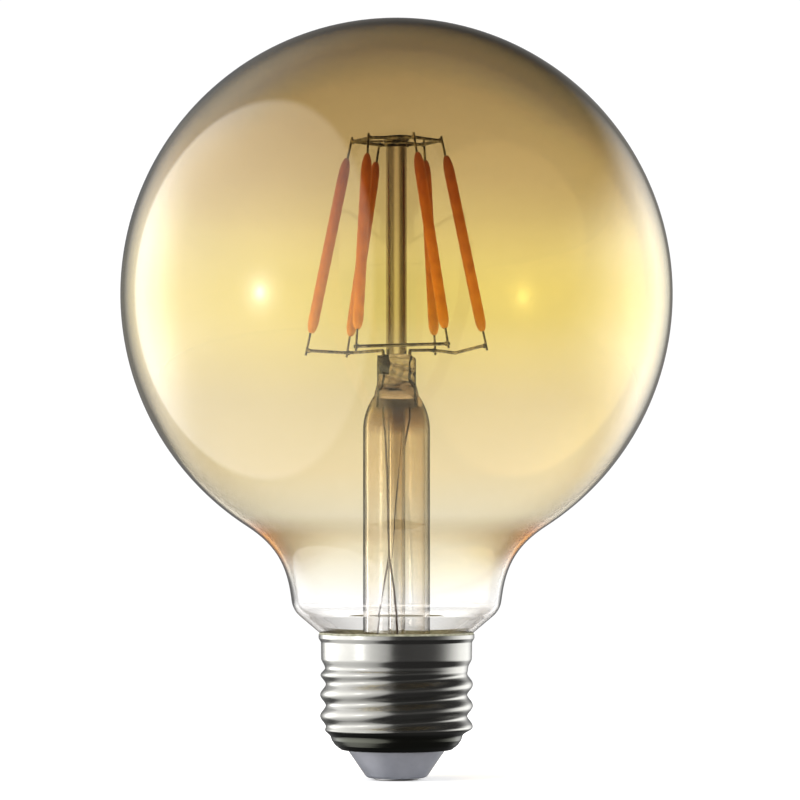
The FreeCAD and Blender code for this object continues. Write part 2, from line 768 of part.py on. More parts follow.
def make_shell():
    rows = outline_rows(shell_outline(), size("row_step"))
    outside = sheet_face(rows)
    inside = sheet_face(inset_rows(rows, size("shell_wall")))
    ends = []
    for face in (outside, inside):
        rings = sorted((edge for edge in face.Edges if edge.isClosed()), key=lambda edge: edge.BoundBox.ZMin)
        ends.append((rings[0], rings[-1]))
    foot = Part.makeRuledSurface(ends[0][0], ends[1][0])
    rim = Part.makeRuledSurface(ends[0][1], ends[1][1])
    skin = Part.makeShell([outside, foot, inside, rim])
    skin.sewShape()
    solid = Part.Solid(skin)
    if solid.Volume < 0:
        solid.reverse()
    shell = document.addObject("Part::Feature", "screw_shell")
    shell.Label = "screw_shell"
    shell.Shape = solid


def make_cement(envelope_form):
    """Cement between the shell's skirt and the glass neck, with a thin bead above the rim."""
    inside = "skirt_radius - shell_wall - cement_clearance"
    rim_inside = "rim_radius - shell_wall - cement_clearance"
    low = "neck_end_radius - glass_wall / 2"
    ring = turned("cement_blank", [
        (low, "skirt_height"),
        (inside, "skirt_height"),
        (inside, "rim_height - 2 * rim_lip"),
        (rim_inside, "rim_height - rim_lip + cement_clearance"),
        (rim_inside, "rim_height"),
        ("rim_radius - cement_bead / 3", "rim_height"),
        ("rim_radius - cement_bead / 3", "rim_height + cement_bead"),
        (low, "rim_height + cement_bead"),
    ])
    cut("cement_ring", ring, envelope_form)


def make_insulator():
    """Moulded plug that closes the shell's foot, bored for the contact."""
    turned("insulator", [
        ("shank_radius + fit_clearance", "contact_thickness"),
        ("insulator_foot_radius", "contact_thickness", "insulator_foot_bend"),
        ("insulator_foot_radius + insulator_foot_spread", "contact_thickness + insulator_foot_rise"),
        ("insulator_neck_radius", "shell_edge_height - fit_clearance / 2"),
        ("insulator_neck_radius", "insulator_lip_height"),
        ("insulator_neck_radius + insulator_lip", "insulator_lip_height"),
        ("insulator_neck_radius + insulator_lip", "insulator_top_height"),
        ("shank_radius + fit_clearance", "insulator_top_height"),
    ])


def make_contact():
    """Centre contact: a flat head on a shank pressed into the insulator."""
    turned("centre_contact", [
        ("0", "0"),
        ("contact_face_radius", "0", "contact_radius - contact_face_radius"),
        ("contact_radius", "contact_thickness"),
        ("shank_radius", "contact_thickness"),
        ("shank_radius", "shank_height"),
        ("0", "shank_height"),
    ])


# Driver board, pushed up against the glass, with its parts hanging below it.

def block(label, length, width, height, middle_x, middle_y):
    """A moulded chip under the board."""
    box = document.addObject("Part::Box", label)
    box.Label = label
    bind(box, Length=length, Width=width, Height=height)
    corner = FreeCAD.Vector(middle_x - size(length) / 2, middle_y - size(width) / 2,
                            size("board_bottom_height") - size(height))
    box.Placement = FreeCAD.Placement(corner, FreeCAD.Rotation())


# The shell wire's places, as shares of the room between the board and the shell's closed-in foot
SHELL_WIRE_PLACES = (0.27, 0.41, 0.68)


def make_driver():
    board = document.addObject("Part::Cylinder", "driver_board")
    board.Label = "driver_board"
    bind(board, Radius="board_radius", Height="board_thickness")
    board.Placement.Base = FreeCAD.Vector(0, 0, size("board_bottom_height"))
    place = size("part_offset")
    block("bridge_rectifier", "rectifier_length", "rectifier_width", "rectifier_height", place, place)
    block("driver_chip", "chip_length", "chip_width", "chip_height", -place, place)
    capacitor = turned("smoothing_capacitor", [
        ("0", "0"),
        ("capacitor_radius", "0"),
        ("capacitor_radius", "capacitor_height - capacitor_bend", "capacitor_bend"),
        ("capacitor_radius - capacitor_bend", "capacitor_height"),
        ("0", "capacitor_height"),
    ])
    upside_down = FreeCAD.Rotation(FreeCAD.Vector(1, 0, 0), 180)
    under = size("board_bottom_height")
    capacitor.Placement = FreeCAD.Placement(FreeCAD.Vector(-place, -place, under), upside_down)
    resistor = turned("fuse_resistor", [
        ("0", "0"),
        ("resistor_radius / 4", "0"),
        ("resistor_radius / 4", "resistor_lead"),
        ("resistor_radius - resistor_bend", "resistor_lead", "resistor_bend"),
        ("resistor_radius", "resistor_lead + resistor_bend"),
        ("resistor_radius", "resistor_lead + resistor_length - resistor_bend", "resistor_bend"),
        ("resistor_radius - resistor_bend", "resistor_lead + resistor_length"),
        ("0", "resistor_lead + resistor_length"),
    ])
    beside = FreeCAD.Vector(size("resistor_offset"), -place, under)
    resistor.Placement = FreeCAD.Placement(beside, upside_down)
    middle = (under + size("shank_height")) / 2
    slack = size("hookup_slack")
    drawn_wire("contact_wire", [
        FreeCAD.Vector(0, 0, size("shank_height")),
        FreeCAD.Vector(0, 0, size("insulator_top_height")),
        FreeCAD.Vector(slack, slack, middle),
        FreeCAD.Vector(0, 0, under - size("hookup_straight")),
        FreeCAD.Vector(0, 0, under),
    ], size("hookup_bend"), "hookup_radius")
    edge = size("board_radius - shell_wire_inset")
    room = under - size("shell_root_height")
    reach = size("shell_root_radius - shell_wall - hookup_radius - fit_clearance")
    drawn_wire("shell_wire", [
        FreeCAD.Vector(edge, 0, under),
        FreeCAD.Vector(edge, 0, under - SHELL_WIRE_PLACES[0] * room),
        FreeCAD.Vector(reach, 0, under - SHELL_WIRE_PLACES[1] * room),
        FreeCAD.Vector(reach, 0, under - SHELL_WIRE_PLACES[2] * room),
    ], size("shell_wire_bend"), "hookup_radius")


NODES = [
    "glass_envelope", "stem_tube", "exhaust_tube", "support_rod", "upper_ring", "left_arm_wire",
    "right_arm_wire", "bridge_wire", "hub_collar", "hub_spoke_1", "hub_spoke_2", "hub_spoke_3",
    "seal_plate", "seal_wire_left", "seal_wire_right", "supply_lead_left", "supply_lead_right",
    "screw_shell", "cement_ring", "insulator", "centre_contact", "driver_board", "bridge_rectifier",
    "driver_chip", "smoothing_capacitor", "fuse_resistor", "contact_wire", "shell_wire",
]
for number in range(1, 7):
    NODES += [f"filament_{number}", f"filament_{number}_upper_pin", f"filament_{number}_lower_pin"]


def write_parts():
    """Stops on any failed object, then writes each sub-part to its own file."""
    document.recompute()
    for item in document.Objects:
        if {"Invalid", "Error"} & set(item.State):
            raise ValueError(f"{item.Label} failed: {item.State}")
    os.makedirs("parts", exist_ok=True)
    for name in NODES:
        shape = document.getObjectsByLabel(name)[0].Shape
        if shape.isNull() or not shape.isValid() or shape.Volume <= 0:
            raise ValueError(f"{name} has no valid shape")
        shape.exportStep(f"parts/{name}.step")


fill_sheet()
envelope_form, envelope = make_envelope()
make_stem()
make_exhaust()
make_rod()
make_cage_wires()
make_collar()
for number, angle in enumerate((LEFT, BACK_LEFT, BACK_RIGHT, RIGHT, FRONT_RIGHT, FRONT_LEFT), start=1):
    make_filament(number, angle)
make_leads()
make_shell()
make_cement(envelope_form)
make_insulator()
make_contact()
make_driver()
write_parts()
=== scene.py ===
import bpy
import math
from mathutils import Matrix, Vector


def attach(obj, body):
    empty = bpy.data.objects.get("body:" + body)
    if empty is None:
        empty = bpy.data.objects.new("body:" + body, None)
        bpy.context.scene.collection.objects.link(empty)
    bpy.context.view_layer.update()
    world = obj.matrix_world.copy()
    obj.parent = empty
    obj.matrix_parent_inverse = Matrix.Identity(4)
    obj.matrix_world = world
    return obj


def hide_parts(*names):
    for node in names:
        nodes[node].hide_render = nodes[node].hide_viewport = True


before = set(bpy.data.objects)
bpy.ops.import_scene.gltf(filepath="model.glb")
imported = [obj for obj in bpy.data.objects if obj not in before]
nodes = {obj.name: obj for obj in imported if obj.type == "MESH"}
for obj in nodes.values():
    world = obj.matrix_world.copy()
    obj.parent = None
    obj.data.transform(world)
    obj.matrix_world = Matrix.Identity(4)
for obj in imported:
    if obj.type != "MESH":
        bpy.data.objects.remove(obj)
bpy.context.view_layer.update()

MM = 0.001

# Blown globe. One thin bubble of soda glass, blown with its neck in one piece. A transparent amber coat
# is fired on its outside, strongest at the crown and fading out before the neck, which is clear.
ON_AXIS = 1e-7


def rounded(corners, steps=8):
    """Places in metres along an outline given in millimetres as (radius, height, bend)."""
    places = []
    for index, corner in enumerate(corners):
        bend = corner[2] if len(corner) > 2 else 0
        here = Vector(corner[:2])
        if not bend or index in (0, len(corners) - 1):
            places.append(here)
            continue
        back = (Vector(corners[index - 1][:2]) - here).normalized()
        ahead = (Vector(corners[index + 1][:2]) - here).normalized()
        half = back.angle(ahead) / 2
        middle = here + (back + ahead).normalized() * bend / math.sin(half)
        start = here + back * bend / math.tan(half) - middle
        sweep = start.angle_signed(here + ahead * bend / math.tan(half) - middle)
        for step in range(steps + 1):
            places.append(middle + Matrix.Rotation(-sweep * step / steps, 2) @ start)
    return [place * MM for place in places]


def arc(centre_radius, centre_height, bend, start, end, steps):
    """Places in millimetres along an arc of the outline, between two angles in degrees."""
    turns = [math.radians(start + (end - start) * step / steps) for step in range(steps + 1)]
    return [(centre_radius + bend * math.cos(turn), centre_height + bend * math.sin(turn))
            for turn in turns]


def lathed(name, outline, sides):
    """A ring drawn through the outline's places, and closed where the outline meets the axis."""
    bpy.ops.object.select_all(action="DESELECT")
    start = 1 if outline[0][0] < ON_AXIS else 0
    bpy.ops.mesh.primitive_circle_add(vertices=sides, radius=outline[start][0], location=(0, 0, 0))
    piece = bpy.context.object
    piece.name = name
    bpy.ops.object.mode_set(mode="EDIT")
    bpy.ops.transform.translate(value=(0, 0, outline[start][1]))
    if start:
        bpy.ops.mesh.extrude_edges_move(
            TRANSFORM_OT_translate={"value": (0, 0, outline[0][1] - outline[1][1])})
        bpy.ops.mesh.merge(type="COLLAPSE")
        bpy.ops.mesh.select_all(action="DESELECT")
        bpy.ops.mesh.select_non_manifold()
    for here, there in zip(outline[start:], outline[start + 1:]):
        bpy.ops.mesh.extrude_edges_move(
            TRANSFORM_OT_translate={"value": (0, 0, there[1] - here[1])})
        if there[0] < ON_AXIS:
            bpy.ops.mesh.merge(type="COLLAPSE")
            break
        share = there[0] / here[0]
        bpy.ops.transform.resize(value=(share, share, 1), center_override=(0, 0, 0))
    bpy.ops.mesh.select_all(action="SELECT")
    bpy.ops.mesh.normals_make_consistent(inside=False)
    bpy.ops.object.mode_set(mode="OBJECT")
    bpy.ops.object.shade_smooth_by_angle(angle=math.radians(35))
    return piece


def finished(piece):
    """The piece with its modifiers applied, in the order they were added."""
    bpy.ops.object.select_all(action="DESELECT")
    piece.select_set(True)
    bpy.context.view_layer.objects.active = piece
    for modifier in list(piece.modifiers):
        bpy.ops.object.modifier_apply(modifier=modifier.name)


GLOBE_RADIUS = 47.5
GLOBE_MIDDLE = 83.4
GLASS_WALL = 0.8
NECK_LEAN = 8.0
WAIST_LOW = (18.164, 31.587)
WAIST_HIGH = (25.774, 43.501)
WAIST_PULL = 0.40
FOOT_STEPS = 4


def waist(steps):
    """The hollow curve from the neck into the globe, tangent to both."""
    low = Vector(WAIST_LOW)
    high = Vector(WAIST_HIGH)
    lean = math.radians(NECK_LEAN)
    slope = math.atan2(WAIST_HIGH[0], GLOBE_MIDDLE - WAIST_HIGH[1])
    first = Vector((math.sin(lean), math.cos(lean)))
    last = Vector((math.cos(slope), math.sin(slope)))
    reach = (high - low).length * WAIST_PULL
    places = []
    for step in range(steps + 1):
        share = step / steps
        rest = 1 - share
        places.append((rest ** 3 * low + 3 * rest ** 2 * share * (low + first * reach)
                       + 3 * rest * share ** 2 * (high - last * reach) + share ** 3 * high) * MM)
    return places


neck = rounded([(11.4, 17.0), (11.4, 23.66, 2.0), (17.81, 29.07, 4.2), (19.2, 39.0)])
foot = [neck[0] + (neck[1] - neck[0]) * step / FOOT_STEPS for step in range(FOOT_STEPS)]
ball_start = math.degrees(math.atan2(WAIST_HIGH[1] - GLOBE_MIDDLE, WAIST_HIGH[0]))
ball = [Vector(place) * MM for place in arc(0, GLOBE_MIDDLE, GLOBE_RADIUS, ball_start, 90, 84)]
ball[-1] = Vector((0, (GLOBE_MIDDLE + GLOBE_RADIUS) * MM))
globe = lathed("globe_glass", foot + neck[1:-1] + waist(14) + ball[1:], 160)
wall = globe.modifiers.new("wall", "SOLIDIFY")
wall.thickness = GLASS_WALL * MM
wall.offset = -1
wall.use_even_offset = True
finished(globe)


def new_material(name):
    """A fresh material, its node tree and its shader."""
    made = bpy.data.materials.new(name)
    made.use_nodes = True
    return made, made.node_tree, made.node_tree.nodes["Principled BSDF"]


def ramped(tree, value, stops):
    """A value turned into a colour by (position, (red, green, blue)) stops."""
    ramp = tree.nodes.new("ShaderNodeValToRGB")
    first, last = ramp.color_ramp.elements
    first.position, last.position = stops[0][0], stops[-1][0]
    first.color, last.color = stops[0][1] + (1,), stops[-1][1] + (1,)
    for position, colour in stops[1:-1]:
        ramp.color_ramp.elements.new(position).color = colour + (1,)
    tree.links.new(value, ramp.inputs[0])
    return ramp.outputs[0]


def multiplied(tree, under, over, share=1.0):
    """One colour times another, in full or by a share that may vary."""
    mix = tree.nodes.new("ShaderNodeMix")
    mix.data_type = "RGBA"
    mix.blend_type = "MULTIPLY"
    for socket, value in ((mix.inputs["Factor"], share), (mix.inputs[6], under), (mix.inputs[7], over)):
        if isinstance(value, (float, tuple)):
            socket.default_value = value
        else:
            tree.links.new(value, socket)
    return mix.outputs[2]


def height_share(tree, low, high):
    """0 at the low height and 1 at the high one, in metres of the object."""
    place = tree.nodes.new("ShaderNodeTexCoord")
    parts = tree.nodes.new("ShaderNodeSeparateXYZ")
    share = tree.nodes.new("ShaderNodeMapRange")
    share.inputs["From Min"].default_value = low
    share.inputs["From Max"].default_value = high
    tree.links.new(place.outputs["Object"], parts.inputs[0])
    tree.links.new(parts.outputs["Z"], share.inputs["Value"])
    return share.outputs["Result"]


def turned_away(tree, blend):
    """0 where the glass is seen square on, rising towards 1 at its outline."""
    weight = tree.nodes.new("ShaderNodeLayerWeight")
    weight.inputs["Blend"].default_value = blend
    return weight.outputs["Facing"]


def ripple_group():
    """The slow ripple of blown or drawn glass, as a normal."""
    group = bpy.data.node_groups.new("uneven glass", "ShaderNodeTree")
    sockets = group.interface
    sockets.new_socket("Size", in_out="INPUT", socket_type="NodeSocketFloat")
    sockets.new_socket("Depth", in_out="INPUT", socket_type="NodeSocketFloat")
    sockets.new_socket("Normal", in_out="OUTPUT", socket_type="NodeSocketVector")
    given = group.nodes.new("NodeGroupInput")
    result = group.nodes.new("NodeGroupOutput")
    place = group.nodes.new("ShaderNodeTexCoord")
    ripple = group.nodes.new("ShaderNodeTexNoise")
    ripple.inputs["Detail"].default_value = 1.0
    bump = group.nodes.new("ShaderNodeBump")
    bump.inputs["Strength"].default_value = 1.0
    group.links.new(place.outputs["Object"], ripple.inputs["Vector"])
    group.links.new(given.outputs["Size"], ripple.inputs["Scale"])
    group.links.new(given.outputs["Depth"], bump.inputs["Distance"])
    group.links.new(ripple.outputs[0], bump.inputs["Height"])
    group.links.new(bump.outputs[0], result.inputs["Normal"])
    return group


UNEVEN_GLASS = ripple_group()
GLASS_IOR = 1.5


def make_glass(tree, shader, colour, shadow_colour, ripple_size, ripple_depth):
    """Turns the shader to tinted glass, which tints what it shades instead of blocking the lamps."""
    tree.links.new(colour, shader.inputs["Base Color"])
    shader.inputs["Roughness"].default_value = 0.0
    shader.inputs["IOR"].default_value = GLASS_IOR
    shader.inputs["Transmission Weight"].default_value = 1.0
    uneven = tree.nodes.new("ShaderNodeGroup")
    uneven.node_tree = UNEVEN_GLASS
    uneven.inputs["Size"].default_value = ripple_size
    uneven.inputs["Depth"].default_value = ripple_depth
    tree.links.new(uneven.outputs["Normal"], shader.inputs["Normal"])
    path = tree.nodes.new("ShaderNodeLightPath")
    through = tree.nodes.new("ShaderNodeBsdfTransparent")
    either = tree.nodes.new("ShaderNodeMixShader")
    if shadow_colour:
        tree.links.new(shadow_colour, through.inputs["Color"])
    tree.links.new(path.outputs["Is Shadow Ray"], either.inputs[0])
    tree.links.new(shader.outputs[0], either.inputs[1])
    tree.links.new(through.outputs[0], either.inputs[2])
    tree.links.new(either.outputs[0], tree.nodes["Material Output"].inputs["Surface"])


coated, tree, shader = new_material("amber coated glass")
height = height_share(tree, 0.0, 0.1309)
away = turned_away(tree, 0.25)
coat = ramped(tree, height, [
    (0.235, (1.0, 1.0, 1.0)),
    (0.262, (0.985, 0.965, 0.885)),
    (0.300, (0.965, 0.925, 0.80)),
    (0.344, (0.96, 0.91, 0.765)),
    (0.405, (0.95, 0.86, 0.65)),
    (0.497, (0.865, 0.775, 0.55)),
    (0.626, (0.85, 0.745, 0.375)),
    (0.695, (0.812, 0.707, 0.387)),
    (0.764, (0.70, 0.587, 0.354)),
    (0.863, (0.656, 0.534, 0.324)),
    (1.000, (0.60, 0.475, 0.30)),
])
# The globe darkens towards its outline. Part of this is deeper amber along the slanting path through the
# coat, and part is painted shade for the dark room seen at its edges.
rim_shade = ramped(tree, away, [
    (0.0, (1.0, 1.0, 1.0)),
    (0.30, (0.98, 0.97, 0.95)),
    (0.47, (0.88, 0.85, 0.80)),
    (0.72, (0.50, 0.43, 0.34)),
    (1.0, (0.20, 0.14, 0.09)),
])
# Painted reflection: a blue-grey ring round the crown, standing for the dark ceiling seen in the glass.
crown_reflection = ramped(tree, away, [
    (0.10, (1.0, 1.0, 1.0)),
    (0.206, (0.86, 0.88, 0.89)),
    (0.272, (0.64, 0.68, 0.80)),
    (0.344, (0.47, 0.50, 0.61)),
    (0.465, (0.68, 0.76, 0.86)),
    (1.0, (0.70, 0.70, 0.70)),
])
# Painted shade: the clear neck is painted grey towards its outline.
neck_edge_shade = ramped(tree, away, [
    (0.08, (1.0, 1.0, 1.0)),
    (0.16, (0.96, 0.96, 0.96)),
    (0.225, (0.89, 0.89, 0.89)),
    (0.31, (0.74, 0.74, 0.745)),
    (0.44, (0.50, 0.50, 0.51)),
    (0.62, (0.34, 0.34, 0.35)),
    (1.0, (0.28, 0.28, 0.29)),
])
# Painted shade and painted glint at the waist: a brown shade across the band where the coat ends, turning to
# an orange glint at the outline.
waist_shade_and_glint = ramped(tree, away, [
    (0.0, (1.0, 1.0, 1.0)),
    (0.16, (0.97, 0.95, 0.91)),
    (0.28, (0.82, 0.74, 0.62)),
    (0.40, (0.60, 0.47, 0.33)),
    (0.49, (0.66, 0.34, 0.13)),
    (0.58, (0.95, 0.24, 0.03)),
    (1.0, (0.80, 0.15, 0.01)),
])
waist_shade_share = ramped(tree, height, [
    (0.0, (0.0, 0.0, 0.0)),
    (0.262, (0.0, 0.0, 0.0)),
    (0.296, (1.0, 1.0, 1.0)),
    (0.322, (1.0, 1.0, 1.0)),
    (0.345, (0.0, 0.0, 0.0)),
    (1.0, (0.0, 0.0, 0.0)),
])
# The globe's colour: the amber coat times the painted shade, reflection and glint above.
tint_and_shade = multiplied(tree, coat, rim_shade)
tint_and_shade = multiplied(tree, tint_and_shade, crown_reflection, height_share(tree, 0.107, 0.116))
tint_and_shade = multiplied(tree, tint_and_shade, neck_edge_shade, height_share(tree, 0.041, 0.034))
tint_and_shade = multiplied(tree, tint_and_shade, waist_shade_and_glint, waist_shade_share)
make_glass(tree, shader, tint_and_shade, coat, 30.0, 0.00008)
globe.data.materials.append(coated)
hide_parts("glass_envelope")
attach(globe, "root")

# Stem. A drawn glass tube, flared at its foot where it is fused into the neck, closed by a dome and
# pressed flat round the lead wires while soft.
STEM_SIDES = 96
STEM_INSIDE = 4.95
STEM_OUTSIDE = 5.75
DOME_FOOT = 60.0
DOME_AXIS = -4.525
FLARE_AXIS = 9.75
FLARE_HEIGHT = 21.8
PINCH_LOW = 66.04
PINCH_HIGH = 73.1
PINCH_RADIUS = 3.788
PINCH_HALF_WIDTH = 3.35
PINCH_HALF_DEPTH = 2.1
PINCH_STEPS = 22
stem_rows = [(0, 63.8), (1.5, 63.8), (3.2, 63.8)]
stem_rows += arc(DOME_AXIS, DOME_FOOT, STEM_INSIDE - DOME_AXIS, 23.6, 0, 10)
stem_rows += [(STEM_INSIDE, height) for height in (50.0, 40.0, 30.0)]
stem_rows += arc(FLARE_AXIS, FLARE_HEIGHT, FLARE_AXIS - STEM_INSIDE, 180, 270, 12)
stem_rows += [(10.3, 17.0), (10.55, 17.1), (10.55, 17.7), (10.3, 17.8)]
stem_rows += arc(FLARE_AXIS, FLARE_HEIGHT, FLARE_AXIS - STEM_OUTSIDE, 270, 180, 12)
stem_rows += [(STEM_OUTSIDE, height) for height in (30.0, 40.0, 50.0)]
stem_rows += arc(DOME_AXIS, DOME_FOOT, STEM_OUTSIDE - DOME_AXIS, 0, 36.0, 14)
stem_rows += [(PINCH_RADIUS, PINCH_LOW + (PINCH_HIGH - PINCH_LOW) * step / PINCH_STEPS)
              for step in range(1, PINCH_STEPS + 1)]
stem_rows += [(3.0, PINCH_HIGH), (1.6, PINCH_HIGH), (0, PINCH_HIGH)]
stem = lathed("stem_glass", [Vector(row) * MM for row in stem_rows], STEM_SIDES)


def eased(value, low, high):
    """Rises smoothly from 0 at low to 1 at high."""
    share = min(1.0, max(0.0, (value - low) / (high - low)))
    return share * share * (3 - 2 * share)


def pressed(place):
    """Where the jaws leave a place of the soft tube's end: flat, wide and rounded at its corners."""
    height = place.z / MM
    across = place.x / MM
    reach = math.hypot(place.x, place.y) / MM
    if height < PINCH_LOW - 0.01 or reach < 1e-6:
        return place
    grip = eased(height, PINCH_LOW, PINCH_LOW + 2.2)
    turn = math.atan2(place.y, place.x)
    power = 2 + 3 * grip
    square = (abs(math.cos(turn)) ** power + abs(math.sin(turn)) ** power) ** (-1 / power)
    round_off = 1 - 0.28 * eased(height, PINCH_HIGH - 1.1, PINCH_HIGH) ** 2
    wide = PINCH_RADIUS + (PINCH_HALF_WIDTH - PINCH_RADIUS) * grip
    deep = PINCH_RADIUS + (PINCH_HALF_DEPTH - PINCH_RADIUS) * grip
    waves = 0.20 * math.sin(height * 2.6 + across * 0.9 + 0.8)
    waves += 0.17 * math.sin(across * 2.3 - height * 0.7)
    waves *= grip * (1 - eased(height, 71.4, 72.6))
    share = reach / PINCH_RADIUS
    return Vector((
        math.cos(turn) * square * wide * share * round_off,
        math.sin(turn) * square * (deep + waves) * share * round_off,
        height - 0.35 * (1 - round_off),
    )) * MM


for vertex in stem.data.vertices:
    if vertex.co.z > (PINCH_LOW - 0.005) * MM and vertex.co.xy.length > 0:
        vertex.co = pressed(vertex.co)

clear, tree, shader = new_material("clear stem glass")
away = turned_away(tree, 0.35)
# Faint smoke of the stem glass, deeper in the thick glass of the dome and pinch, with a dark band of painted
# shade where the pinch's flat faces begin.
smoke_and_shade = ramped(tree, height_share(tree, 0.017, 0.0731), [
    (0.0, (0.97, 0.97, 0.97)),
    (0.28, (0.95, 0.94, 0.92)),
    (0.60, (0.86, 0.81, 0.72)),
    (0.75, (0.82, 0.76, 0.66)),
    (0.80, (0.52, 0.41, 0.30)),
    (0.865, (0.30, 0.23, 0.16)),
    (0.895, (0.24, 0.18, 0.12)),
    (0.92, (0.50, 0.43, 0.34)),
    (1.0, (0.64, 0.57, 0.47)),
])
# Painted shade: the tube is painted dark towards its outline.
rim_shade = ramped(tree, away, [
    (0.0, (1.0, 1.0, 1.0)),
    (0.16, (0.95, 0.93, 0.90)),
    (0.36, (0.84, 0.79, 0.71)),
    (0.55, (0.66, 0.59, 0.49)),
    (0.68, (0.42, 0.37, 0.30)),
    (0.78, (0.12, 0.10, 0.08)),
    (1.0, (0.08, 0.06, 0.05)),
])
# Painted shade on the pinch: dark and light bands by slant, which pick out the pressed waves.
fold_shade = ramped(tree, away, [
    (0.0, (1.0, 1.0, 1.0)),
    (0.02, (1.0, 1.0, 1.0)),
    (0.05, (0.60, 0.55, 0.48)),
    (0.10, (0.20, 0.17, 0.13)),
    (0.18, (0.80, 0.76, 0.70)),
    (0.26, (0.24, 0.20, 0.16)),
    (1.0, (0.16, 0.12, 0.09)),
])
tint_and_shade = multiplied(tree, smoke_and_shade, rim_shade)
tint_and_shade = multiplied(tree, tint_and_shade, fold_shade, height_share(tree, 0.0655, 0.0675))
make_glass(tree, shader, tint_and_shade, smoke_and_shade, 180.0, 0.00006)
stem.data.materials.append(clear)
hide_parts("stem_tube")
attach(stem, "root")

# Pump tube. Thin glass tube inside the stem, of the same glass and fused to its top. The bulb was
# emptied and filled through it, and then its lower end was melted shut.
PUMP_END = 21.1
PUMP_OUTSIDE = 1.5
PUMP_INSIDE = 1.0
pump_rows = arc(0, PUMP_END, PUMP_OUTSIDE, -90, 0, 8)
pump_rows += [(PUMP_OUTSIDE, height) for height in (30, 45, 63.8)]
pump_rows += [(PUMP_INSIDE, height) for height in (63.8, 45, 30)]
pump_rows += arc(0, PUMP_END, PUMP_INSIDE, 0, -90, 8)
pump = lathed("pump_tube", [Vector(row) * MM for row in pump_rows], 48)
pump.data.materials.append(clear)
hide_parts("exhaust_tube")
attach(pump, "root")

# Rod. Solid drawn glass, fused to the top of the pinch. It carries the hub of the cage, and its free
# end is rounded in the flame.
ROD_RADIUS = 1.75
rod_rows = [(0, 73.1)] + [(ROD_RADIUS, height) for height in (73.1, 80, 90, 100)]
rod_rows += arc(0.85, 109.3, 0.9, 0, 90, 8) + [(0, 110.2)]
rod = lathed("glass_rod", [Vector(row) * MM for row in rod_rows], 64)
rod_glass, tree, shader = new_material("glass rod")
# The rod's colour is painted shade: a light middle, dark bands and a light outline, standing for the dark
# room seen through the solid rod.
rim_shade = ramped(tree, turned_away(tree, 0.5), [
    (0.0, (0.88, 0.82, 0.76)),
    (0.02, (0.74, 0.69, 0.61)),
    (0.045, (0.30, 0.24, 0.16)),
    (0.09, (0.17, 0.125, 0.08)),
    (0.44, (0.15, 0.11, 0.07)),
    (0.52, (1.0, 0.97, 0.92)),
    (1.0, (1.0, 0.95, 0.85)),
])
make_glass(tree, shader, rim_shade, None, 150.0, 0.00004)
rod.data.materials.append(rod_glass)
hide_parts("support_rod")
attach(rod, "root")

# Filament cage. Hard-drawn nickel-plated iron wire, bent by hand, spot-welded at each crossing and left
# dull by the heat. Rings, spokes, pins and the coil round the rod's tip are the same wire, and the welds
# are small beads. The plate and wires sealed in the pinch are oxidised, and the leads are dull copper.


def grain_group():
    """Two tones in fine grain, and the same grain as a slight relief."""
    group = bpy.data.node_groups.new("fine grain", "ShaderNodeTree")
    sockets = group.interface
    sockets.new_socket("Scale", in_out="INPUT", socket_type="NodeSocketFloat")
    sockets.new_socket("Dark", in_out="INPUT", socket_type="NodeSocketColor")
    sockets.new_socket("Light", in_out="INPUT", socket_type="NodeSocketColor")
    sockets.new_socket("Relief", in_out="INPUT", socket_type="NodeSocketFloat")
    sockets.new_socket("Color", in_out="OUTPUT", socket_type="NodeSocketColor")
    sockets.new_socket("Normal", in_out="OUTPUT", socket_type="NodeSocketVector")
    given = group.nodes.new("NodeGroupInput")
    result = group.nodes.new("NodeGroupOutput")
    place = group.nodes.new("ShaderNodeTexCoord")
    noise = group.nodes.new("ShaderNodeTexNoise")
    noise.inputs["Detail"].default_value = 4.0
    share = group.nodes.new("ShaderNodeMapRange")
    share.inputs["From Min"].default_value = 0.35
    share.inputs["From Max"].default_value = 0.65
    tones = group.nodes.new("ShaderNodeMix")
    tones.data_type = "RGBA"
    bump = group.nodes.new("ShaderNodeBump")
    group.links.new(place.outputs["Object"], noise.inputs["Vector"])
    group.links.new(given.outputs["Scale"], noise.inputs["Scale"])
    group.links.new(noise.outputs[0], share.inputs["Value"])
    group.links.new(share.outputs["Result"], tones.inputs["Factor"])
    group.links.new(given.outputs["Dark"], tones.inputs[6])
    group.links.new(given.outputs["Light"], tones.inputs[7])
    group.links.new(noise.outputs[0], bump.inputs["Height"])
    group.links.new(given.outputs["Relief"], bump.inputs["Distance"])
    group.links.new(tones.outputs[2], result.inputs["Color"])
    group.links.new(bump.outputs[0], result.inputs["Normal"])
    return group


FINE_GRAIN = grain_group()


def grained(tree, scale, dark, light, relief=0.0):
    """The grain's two tones, and its relief."""
    grain = tree.nodes.new("ShaderNodeGroup")
    grain.node_tree = FINE_GRAIN
    grain.inputs["Scale"].default_value = scale
    grain.inputs["Dark"].default_value = dark + (1,)
    grain.inputs["Light"].default_value = light + (1,)
    grain.inputs["Relief"].default_value = relief
    return grain.outputs["Color"], grain.outputs["Normal"]


def plain(name, scale, dark, light, metallic, roughness, relief):
    """A grained finish of two tones."""
    made, tree, shader = new_material(name)
    tones, normal = grained(tree, scale, dark, light, relief)
    tree.links.new(tones, shader.inputs["Base Color"])
    tree.links.new(normal, shader.inputs["Normal"])
    shader.inputs["Metallic"].default_value = metallic
    shader.inputs["Roughness"].default_value = roughness
    return made


def dress(node, made):
    """Puts a finish on a CAD node."""
    slots = nodes[node].data.materials
    slots.clear()
    slots.append(made)


